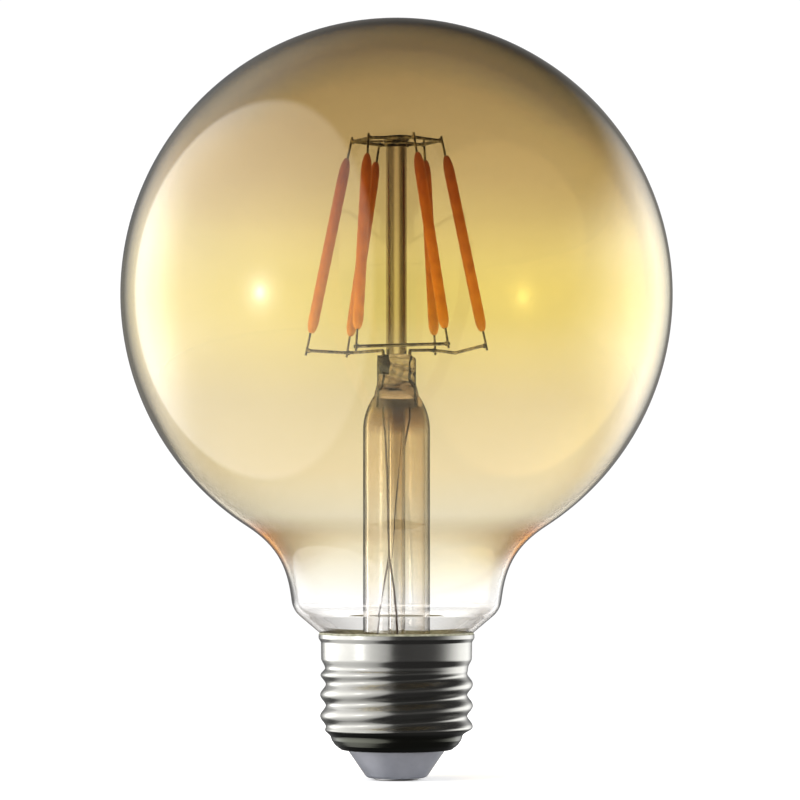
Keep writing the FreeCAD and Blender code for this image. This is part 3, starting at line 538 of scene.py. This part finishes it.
cage_wire = plain("dull cage wire", 900.0, (0.045, 0.038, 0.026), (0.26, 0.22, 0.14), 0.95, 0.30, 0.00003)
for name in ("upper_ring", "left_arm_wire", "right_arm_wire", "bridge_wire", "hub_collar",
             "hub_spoke_1", "hub_spoke_2", "hub_spoke_3"):
    dress(name, cage_wire)
for number in range(1, 7):
    dress(f"filament_{number}_upper_pin", cage_wire)
    dress(f"filament_{number}_lower_pin", cage_wire)

COIL_WIRE = 0.22
COIL_RADIUS = 2.0
COIL_FOOT = 109.08
COIL_RISE = 0.54
COIL_TURNS = 3
bpy.ops.object.select_all(action="DESELECT")
bpy.ops.mesh.primitive_circle_add(vertices=14, radius=COIL_WIRE * MM, location=(0, 0, 0))
coil = bpy.context.object
coil.name = "hub_coil"
bpy.ops.object.mode_set(mode="EDIT")
bpy.ops.transform.rotate(value=math.pi / 2, orient_axis="X", center_override=(0, 0, 0))
bpy.ops.transform.translate(value=(COIL_RADIUS * MM, 0, COIL_FOOT * MM))
bpy.ops.object.mode_set(mode="OBJECT")
winding = coil.modifiers.new("winding", "SCREW")
winding.steps = 40
winding.render_steps = 40
winding.screw_offset = COIL_RISE * MM
winding.iterations = COIL_TURNS
finished(coil)
bpy.ops.object.mode_set(mode="EDIT")
bpy.ops.mesh.select_all(action="SELECT")
bpy.ops.mesh.fill_holes(sides=0)
bpy.ops.mesh.normals_make_consistent(inside=False)
bpy.ops.object.mode_set(mode="OBJECT")
bpy.ops.object.shade_smooth_by_angle(angle=math.radians(50))
coil.data.materials.append(cage_wire)
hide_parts("hub_collar")
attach(coil, "root")

BEAD_RADIUS = 0.44
UPPER_WELD_REACH = 7.55
UPPER_WELD_HEIGHT = 109.9
LOWER_WELD_REACH = 15.15
LOWER_WELD_HEIGHT = 74.1
LOWER_WIRE_TILT = math.tan(math.radians(1.8))
welds = []
for angle in range(0, 360, 60):
    upper = math.radians(angle - 7.5)
    lower = math.radians(angle + 4.0)
    across = LOWER_WELD_REACH * math.cos(lower)
    welds.append((UPPER_WELD_REACH * math.cos(upper), UPPER_WELD_REACH * math.sin(upper), UPPER_WELD_HEIGHT))
    welds.append((across, LOWER_WELD_REACH * math.sin(lower), LOWER_WELD_HEIGHT + across * LOWER_WIRE_TILT))
bpy.ops.object.select_all(action="DESELECT")
for index, place in enumerate(welds):
    bpy.ops.mesh.primitive_ico_sphere_add(subdivisions=2, radius=BEAD_RADIUS * MM, location=(0, 0, 0))
    if not index:
        beads = bpy.context.object
        beads.name = "weld_beads"
        bpy.ops.object.mode_set(mode="EDIT")
        bpy.ops.mesh.select_all(action="SELECT")
    bpy.ops.transform.translate(value=Vector(place) * MM)
bpy.ops.object.mode_set(mode="OBJECT")
bpy.ops.object.shade_smooth()
beads.data.materials.append(cage_wire)
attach(beads, "root")

seal_metal = plain("oxidised seal metal", 700.0, (0.006, 0.005, 0.004), (0.020, 0.014, 0.010),
                   0.0, 0.75, 0.00002)
for name in ("seal_plate", "seal_wire_left", "seal_wire_right"):
    dress(name, seal_metal)
copper = plain("dull lead", 600.0, (0.055, 0.035, 0.025), (0.13, 0.08, 0.05), 0.8, 0.4, 0.00002)
for name in ("supply_lead_left", "supply_lead_right"):
    dress(name, copper)

# Filaments. A ceramic strip of tiny chips on each, moulded all round in orange phosphor resin, thinner
# at both ends where the pins come out. Each is slightly uneven along its length.
resin, tree, shader = new_material("phosphor resin")
tone = ramped(tree, height_share(tree, 0.076, 0.108), [
    (0.0, (0.74, 0.32, 0.014)),
    (0.3, (0.70, 0.25, 0.012)),
    (0.8, (0.52, 0.135, 0.010)),
    (0.95, (0.36, 0.095, 0.015)),
    (1.0, (0.24, 0.10, 0.05)),
])
spots, relief = grained(tree, 420.0, (0.80, 0.74, 0.70), (1.0, 1.0, 1.0), 0.00005)
tree.links.new(multiplied(tree, tone, spots), shader.inputs["Base Color"])
tree.links.new(relief, shader.inputs["Normal"])
shader.inputs["Roughness"].default_value = 0.5
shader.inputs["Subsurface Weight"].default_value = 0.2
shader.inputs["Subsurface Radius"].default_value = (0.0010, 0.0004, 0.0001)
FILAMENT_HALF = 15.45
END_REACH = 1.2


def end_of(points, furthest):
    """The middle of the places that lie near the furthest one."""
    near = [point for point in points if (point - furthest).length < END_REACH * MM]
    return sum(near, Vector()) / len(near)


for number in range(1, 7):
    points = [vertex.co.copy() for vertex in nodes[f"filament_{number}"].data.vertices]
    top = end_of(points, max(points, key=lambda point: point.z))
    bottom = end_of(points, min(points, key=lambda point: point.z))
    lean = (top - bottom).normalized().to_track_quat("Z", "Y").to_matrix().to_4x4()
    middle = sum(points, Vector()) / len(points)
    rows = [(0, -FILAMENT_HALF), (0.38, -FILAMENT_HALF), (0.60, -15.15), (0.80, -14.5), (0.90, -13.9)]
    rows += [(0.93 + 0.02 * math.sin(height * 2.3 + number), height) for height in range(-13, 13)]
    rows += [(0.88, 13.3), (0.78, 14.1), (0.60, 14.9), (0.42, 15.3), (0.32, FILAMENT_HALF),
             (0, FILAMENT_HALF)]
    stick = lathed(f"resin_stick_{number}", [Vector(row) * MM for row in rows], 32)
    stick.data.transform(Matrix.Translation(middle) @ lean)
    stick.data.materials.append(resin)
    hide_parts(f"filament_{number}")
    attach(stick, "root")

# Screw shell. One nickel-plated sheet, rolled to the thread, closed in over the insulator at its foot
# and lipped at its rim. Its turned-in foot is darkened with painted shade.
SHELL_SIDES = 144
SHELL_SHEET = 0.3
ROW_GAP = 0.16
PITCH = 3.63
THREAD_START = 9.1
SKIRT_START = 19.0
THREAD_ROOT = 0.06
THREAD_DEPTH = 0.97
CREST_WIDTH = 0.85
corners = rounded([
    (8.4, 5.0), (9.5, 5.13, 0.6), (10.55, 5.94, 0.8), (11.16, 6.81, 0.8), (11.4, 7.7, 0.5),
    (12.1, 8.6, 0.4), (12.1, 19.0, 0.6), (12.95, 20.6, 0.9),
    (13.0, 23.6, 0.4), (13.4, 24.25, 0.3), (13.4, 24.9),
], 5)
shell_rows = [corners[0]]
for place in corners[1:]:
    before = shell_rows[-1]
    count = max(1, round((place - before).length / (ROW_GAP * MM)))
    shell_rows += [before + (place - before) * step / count for step in range(1, count + 1)]
shell = lathed("threaded_shell", shell_rows, SHELL_SIDES)
for vertex in shell.data.vertices:
    height = vertex.co.z / MM
    reach = vertex.co.xy.length / MM
    turns = (height - THREAD_START) / PITCH - math.atan2(vertex.co.y, vertex.co.x) / (2 * math.pi)
    crest = (0.5 + 0.5 * math.cos(2 * math.pi * turns)) ** CREST_WIDTH
    run_in = eased(height, THREAD_START - 0.5 * PITCH, THREAD_START)
    run_out = 1 - eased(height, SKIRT_START - 0.35 * PITCH, SKIRT_START + 0.2 * PITCH)
    vertex.co.xy *= (reach + (THREAD_ROOT + THREAD_DEPTH * crest) * run_in * run_out) / reach
sheet = shell.modifiers.new("sheet", "SOLIDIFY")
sheet.thickness = SHELL_SHEET * MM
sheet.offset = -1
finished(shell)
bpy.ops.object.shade_smooth_by_angle(angle=math.radians(35))

nickel, tree, shader = new_material("nickel-plated sheet")
tones = grained(tree, 60.0, (0.27, 0.267, 0.25), (0.34, 0.336, 0.312))[0]
# Painted shade: the base colour is multiplied darker below about 8 to 9 mm, over the turned-in foot.
tint_and_shade = multiplied(tree, tones, (0.24, 0.25, 0.22, 1), height_share(tree, 0.0090, 0.0080))
tree.links.new(tint_and_shade, shader.inputs["Base Color"])
shader.inputs["Metallic"].default_value = 1.0
place = tree.nodes.new("ShaderNodeTexCoord")
drawn_out = tree.nodes.new("ShaderNodeMapping")
drawn_out.inputs["Scale"].default_value = (40, 40, 2500)
lines = tree.nodes.new("ShaderNodeTexNoise")
lines.inputs["Scale"].default_value = 1.0
lines.inputs["Detail"].default_value = 3.0
rough = tree.nodes.new("ShaderNodeMapRange")
rough.inputs["To Min"].default_value = 0.17
rough.inputs["To Max"].default_value = 0.28
scratches = tree.nodes.new("ShaderNodeBump")
scratches.inputs["Distance"].default_value = 0.00002
tree.links.new(place.outputs["Object"], drawn_out.inputs["Vector"])
tree.links.new(drawn_out.outputs[0], lines.inputs["Vector"])
tree.links.new(lines.outputs[0], rough.inputs["Value"])
tree.links.new(rough.outputs[0], shader.inputs["Roughness"])
tree.links.new(lines.outputs[0], scratches.inputs["Height"])
tree.links.new(scratches.outputs[0], shader.inputs["Normal"])
shell.data.materials.append(nickel)
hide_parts("screw_shell")
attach(shell, "root")

# Cement. Olive-grey cap cement, baked hard between the shell's skirt and the neck, with a thin bead
# squeezed out above the rim.
cement = plain("cap cement", 1400.0, (0.20, 0.20, 0.14), (0.34, 0.33, 0.25), 0.0, 0.9, 0.00012)
dress("cement_ring", cement)

# Insulator and contact. A pale grey moulded plug is held by the shell's turned-in foot. The contact is
# a dark disc under it, with a shank that is pressed up through the middle of the plug.
insulator = lathed("moulded_insulator", rounded([
    (1.3, 7.2), (1.3, 0.3), (5.095, 0.3, 1.3), (8.3, 4.95, 0.5), (8.3, 5.5),
    (9.1, 5.5), (9.1, 7.2), (1.31, 7.2),
]), 96)
moulding = plain("insulator moulding", 240.0, (0.145, 0.15, 0.172), (0.18, 0.185, 0.21), 0.0, 0.32, 0.00003)
insulator.data.materials.append(moulding)
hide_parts("insulator")
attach(insulator, "root")
contact = lathed("contact_disc", rounded([
    (0, 0), (3.9, 0, 0.28), (3.9, 0.3), (1.2, 0.3), (1.2, 5.5), (0, 5.5),
]), 72)
contact_metal = plain("contact metal", 300.0, (0.22, 0.22, 0.22), (0.36, 0.35, 0.34), 1.0, 0.35, 0.00003)
contact.data.materials.append(contact_metal)
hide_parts("centre_contact")
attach(contact, "root")

# Driver. A small round board with its parts below it and two sleeved wires to the contact and the
# shell. The cap hides it, apart from the board's upper face, which shows through the neck from above.
for name, finish in (
        ("driver_board", ("board laminate", 500.0, (0.03, 0.11, 0.05), (0.05, 0.17, 0.08), 0.0, 0.4)),
        ("smoothing_capacitor", ("capacitor can", 300.0, (0.40, 0.41, 0.42), (0.55, 0.56, 0.57), 0.9, 0.35)),
        ("fuse_resistor", ("resistor lacquer", 400.0, (0.16, 0.30, 0.24), (0.22, 0.38, 0.30), 0.0, 0.4)),
):
    dress(name, plain(*finish, 0.00002))
chip_case = plain("chip case", 900.0, (0.012, 0.012, 0.013), (0.03, 0.03, 0.032), 0.0, 0.55, 0.00002)
for name in ("bridge_rectifier", "driver_chip"):
    dress(name, chip_case)
sleeve = plain("wire sleeve", 500.0, (0.50, 0.50, 0.47), (0.62, 0.62, 0.58), 0.0, 0.5, 0.00002)
for name in ("contact_wire", "shell_wire"):
    dress(name, sleeve)

# Studio floor and lamps. A pale floor that fades into a white surround, and soft lamps from both sides
# and above, for all that isn't glass or bright metal.
bpy.ops.object.select_all(action="DESELECT")
bpy.ops.mesh.primitive_circle_add(vertices=96, radius=0.5, fill_type="NGON", location=(0, 0, -0.00005))
floor = bpy.context.object
floor.name = "pale_floor"
pale, tree, shader = new_material("pale floor")
shader.inputs["Base Color"].default_value = (0.92, 0.92, 0.92, 1)
shader.inputs["Roughness"].default_value = 0.8
shader.inputs["Specular IOR Level"].default_value = 0.0
shader.inputs["Emission Color"].default_value = (1, 1, 1, 1)
shader.inputs["Emission Strength"].default_value = 0.35
place = tree.nodes.new("ShaderNodeTexCoord")
span = tree.nodes.new("ShaderNodeVectorMath")
span.operation = "LENGTH"
fade = tree.nodes.new("ShaderNodeMapRange")
fade.interpolation_type = "SMOOTHSTEP"
fade.inputs["From Min"].default_value = 0.10
fade.inputs["From Max"].default_value = 0.45
clear_part = tree.nodes.new("ShaderNodeBsdfTransparent")
either = tree.nodes.new("ShaderNodeMixShader")
tree.links.new(place.outputs["Object"], span.inputs[0])
tree.links.new(span.outputs["Value"], fade.inputs["Value"])
tree.links.new(fade.outputs[0], either.inputs[0])
tree.links.new(shader.outputs[0], either.inputs[1])
tree.links.new(clear_part.outputs[0], either.inputs[2])
tree.links.new(either.outputs[0], tree.nodes["Material Output"].inputs["Surface"])
floor.data.materials.append(pale)
floor.visible_glossy = False

LAMPS_AIM = Vector((0, 0, 0.06))
for name, place, size, power in (("left_soft_light", (-0.9, -0.5, 0.45), 0.7, 14.0),
                                 ("right_soft_light", (0.9, -0.2, 0.4), 0.6, 6.0),
                                 ("top_soft_light", (0.0, -0.2, 1.1), 0.9, 8.0)):
    bpy.ops.object.light_add(type="AREA", location=place)
    lamp = bpy.context.object
    lamp.name = name
    lamp.data.size = size
    lamp.data.energy = power
    lamp.rotation_euler = (LAMPS_AIM - Vector(place)).to_track_quat("-Z", "Y").to_euler()
    lamp.visible_camera = False
    lamp.visible_glossy = False
    lamp.visible_transmission = False

# Studio surround. Seen directly or through glass it is a white wall. Seen in a reflection it is a dark
# room with soft lights, whose images give the glass its pools and the metal its stripes. Directions are
# in degrees: a turn of 0 is the camera's side, 90 the right, and a rise of 0 is level.
surround = bpy.data.worlds.new("studio surround")
bpy.context.scene.world = surround
surround.use_nodes = True
tree = surround.node_tree
direction = tree.nodes.new("ShaderNodeTexCoord").outputs["Generated"]


def maths(operation, *values):
    """One step of arithmetic on numbers or sockets."""
    node = tree.nodes.new("ShaderNodeMath")
    node.operation = operation
    for index, value in enumerate(values):
        if isinstance(value, (int, float)):
            node.inputs[index].default_value = value
        else:
            tree.links.new(value, node.inputs[index])
    return node.outputs[0]


def mapped(value, low, high, strength=1.0, interpolation="SMOOTHSTEP"):
    """0 at low, rising to the strength at high."""
    node = tree.nodes.new("ShaderNodeMapRange")
    node.interpolation_type = interpolation
    node.inputs["From Min"].default_value = low
    node.inputs["From Max"].default_value = high
    node.inputs["To Max"].default_value = strength
    tree.links.new(value, node.inputs["Value"])
    return node.outputs[0]


def chosen(switch, usual, other):
    """The usual value where the switch is 0, and the other where it is 1."""
    node = tree.nodes.new("ShaderNodeMix")
    tree.links.new(switch, node.inputs[0])
    tree.links.new(usual, node.inputs[2])
    if isinstance(other, float):
        node.inputs[3].default_value = other
    else:
        tree.links.new(other, node.inputs[3])
    return node.outputs[0]


def towards(turn, rise):
    """How nearly a direction points to a turn and a rise."""
    turn, rise = math.radians(turn), math.radians(rise)
    node = tree.nodes.new("ShaderNodeVectorMath")
    node.operation = "DOT_PRODUCT"
    tree.links.new(direction, node.inputs[0])
    node.inputs[1].default_value = (
        math.sin(turn) * math.cos(rise), -math.cos(turn) * math.cos(rise), math.sin(rise))
    return node.outputs["Value"]


def disc(turn, rise, radius, soft, strength):
    """A round light of some angular radius, with a soft edge."""
    outer = math.cos(math.radians(radius + soft))
    inner = math.cos(math.radians(radius - soft))
    return mapped(towards(turn, rise), outer, inner, strength)


def glow(turn, rise, sharpness, strength):
    """A soft lamp that fades out from its middle."""
    near = maths("POWER", maths("MAXIMUM", towards(turn, rise), 0.0), sharpness)
    return maths("MULTIPLY", near, strength)


parts = tree.nodes.new("ShaderNodeSeparateXYZ")
tree.links.new(direction, parts.inputs[0])
path = tree.nodes.new("ShaderNodeLightPath")
turn = maths("ARCTAN2", parts.outputs["X"], maths("MULTIPLY", parts.outputs["Y"], -1.0))
turn_share = maths("MULTIPLY_ADD", turn, 0.5 / math.pi, 0.5)

TALLEST = 3.0
tall_lights = ramped(tree, turn_share, [((angle + 180) / 360, (value / TALLEST,) * 3) for angle, value in (
    (-180, 0.12), (-158, 0.15), (-146, 0.9), (-130, 2.4), (-116, 2.2), (-100, 0.5), (-80, 0.0), (60, 0.10),
    (74, 0.35), (86, 1.1), (98, 2.0), (114, 2.9), (138, 2.8), (150, 1.5), (162, 0.2), (180, 0.12))])
room = maths("MULTIPLY", tall_lights, TALLEST)
room = maths("MULTIPLY", room, mapped(maths("ABSOLUTE", parts.outputs["Z"]), 0.52, 0.16))
IN_AND_OUT_OF_GLOBE = 3.5
LOST_INSIDE = 0.75
behind_glass = maths("GREATER_THAN", path.outputs["Transmission Depth"], IN_AND_OUT_OF_GLOBE)
room = maths("MULTIPLY", room, maths("MULTIPLY_ADD", behind_glass, -LOST_INSIDE, 1.0))
ROOM_DARK = 0.06
room = maths("ADD", room, ROOM_DARK)
umbrella = disc(-74, 1, 65.0, 1.6, 1.0)
room = maths("ADD", room, maths("MULTIPLY", umbrella, maths("ADD", 0.90, glow(-80, 3, 2.4, 2.4))))
for lamp_glow in (glow(-57.6, -0.9, 170, 4.4), glow(-57.6, -0.9, 1300, 7.0), glow(-132, 32, 12, 0.9)):
    room = maths("ADD", room, lamp_glow)

WALL_WHITE = 1.04
white_wall = maths("ADD", WALL_WHITE, glow(178.4, 3.3, 3200, 0.14))
white_wall = maths("ADD", white_wall, glow(-178.03, 3.2, 3200, 0.17))
arch_share = mapped(parts.outputs["Z"], 0.048, 0.082, 1.0, "LINEAR")
white_wall = maths("MULTIPLY_ADD", disc(178.0, 4.45, 1.62, 0.10, 0.14), arch_share, white_wall)

SEEN_FROM_MATT = 0.62
in_reflection = maths("GREATER_THAN", path.outputs["Glossy Depth"], 0.5)
on_matt = maths("GREATER_THAN", path.outputs["Diffuse Depth"], 0.5)
background = tree.nodes["Background"]
strength = chosen(on_matt, chosen(in_reflection, white_wall, room), SEEN_FROM_MATT)
tree.links.new(strength, background.inputs["Strength"])
background.inputs["Color"].default_value = (1, 1, 1, 1)

# Camera, a little below the middle of the globe and looking slightly up, as in the photograph.
bpy.ops.object.camera_add(location=(0.0, -0.690, 0.0444))
camera = bpy.context.object
camera.data.lens = 180.4
camera.data.sensor_width = 36.0
camera_aim = Vector((0.00060, 0.0, 0.0652))
camera.rotation_euler = (camera_aim - camera.location).to_track_quat("-Z", "Y").to_euler()
scene = bpy.context.scene
scene.camera = camera
scene.view_settings.view_transform = "Standard"
scene.cycles.max_bounces = 40
scene.cycles.transmission_bounces = 36
scene.cycles.glossy_bounces = 6
scene.cycles.diffuse_bounces = 3
scene.cycles.transparent_max_bounces = 40
